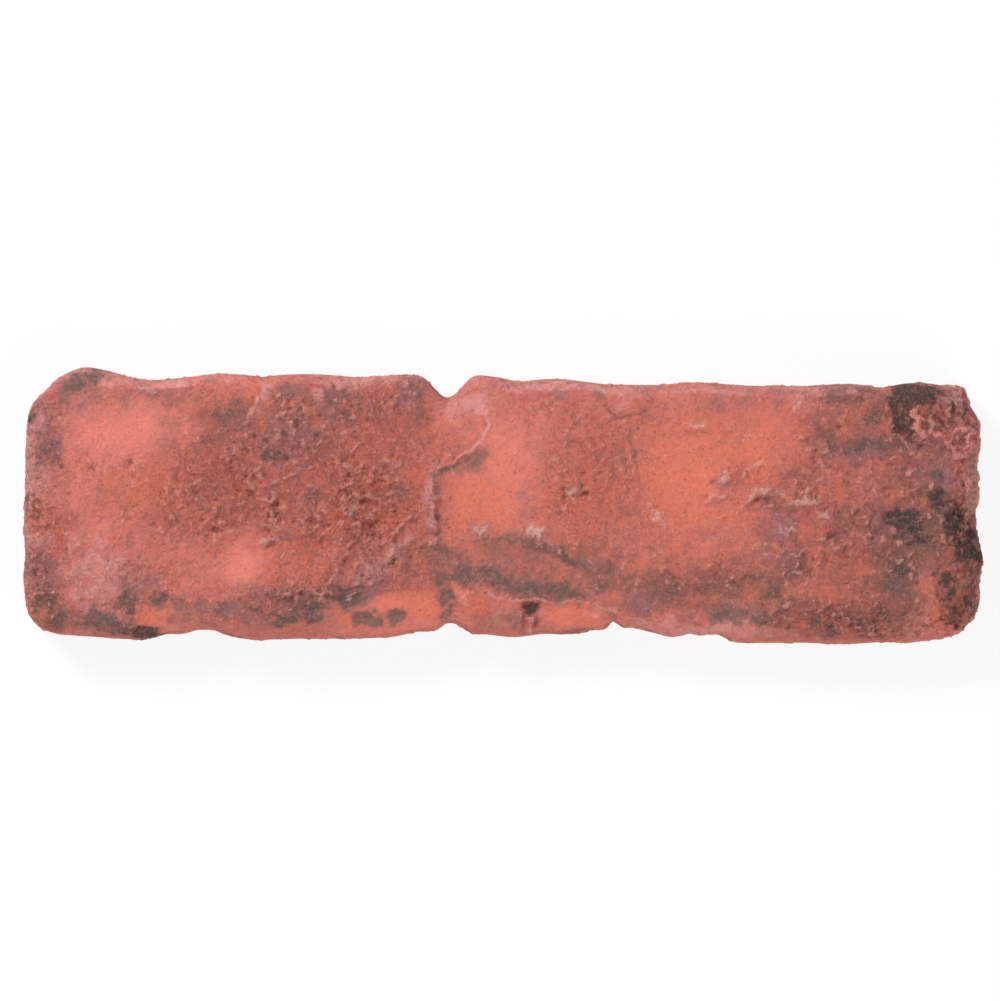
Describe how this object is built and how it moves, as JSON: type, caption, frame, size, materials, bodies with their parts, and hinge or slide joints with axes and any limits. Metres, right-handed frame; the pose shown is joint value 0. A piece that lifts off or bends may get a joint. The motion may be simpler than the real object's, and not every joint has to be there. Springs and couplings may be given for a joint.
{
  "type": "concrete brick veneer tile",
  "caption": "Thin concrete wall tile shaped like the face of an old handmade brick, with a flat bed, wandering worn edges, a notch in its upper edge and a rough face.",
  "frame": {"origin": "middle of the flat bed that is glued to the wall", "axes": "+X along the length, +Y up the height of the face as it stands in the wall, +Z out of the wall, towards the viewer of the face"},
  "size_m": [0.2396, 0.0692, 0.0181],
  "materials": {
    "cast_concrete": "matte"
  },
  "bodies": {
    "root": {"veneer_tile": "cast_concrete"}
  },
  "joints": []
}
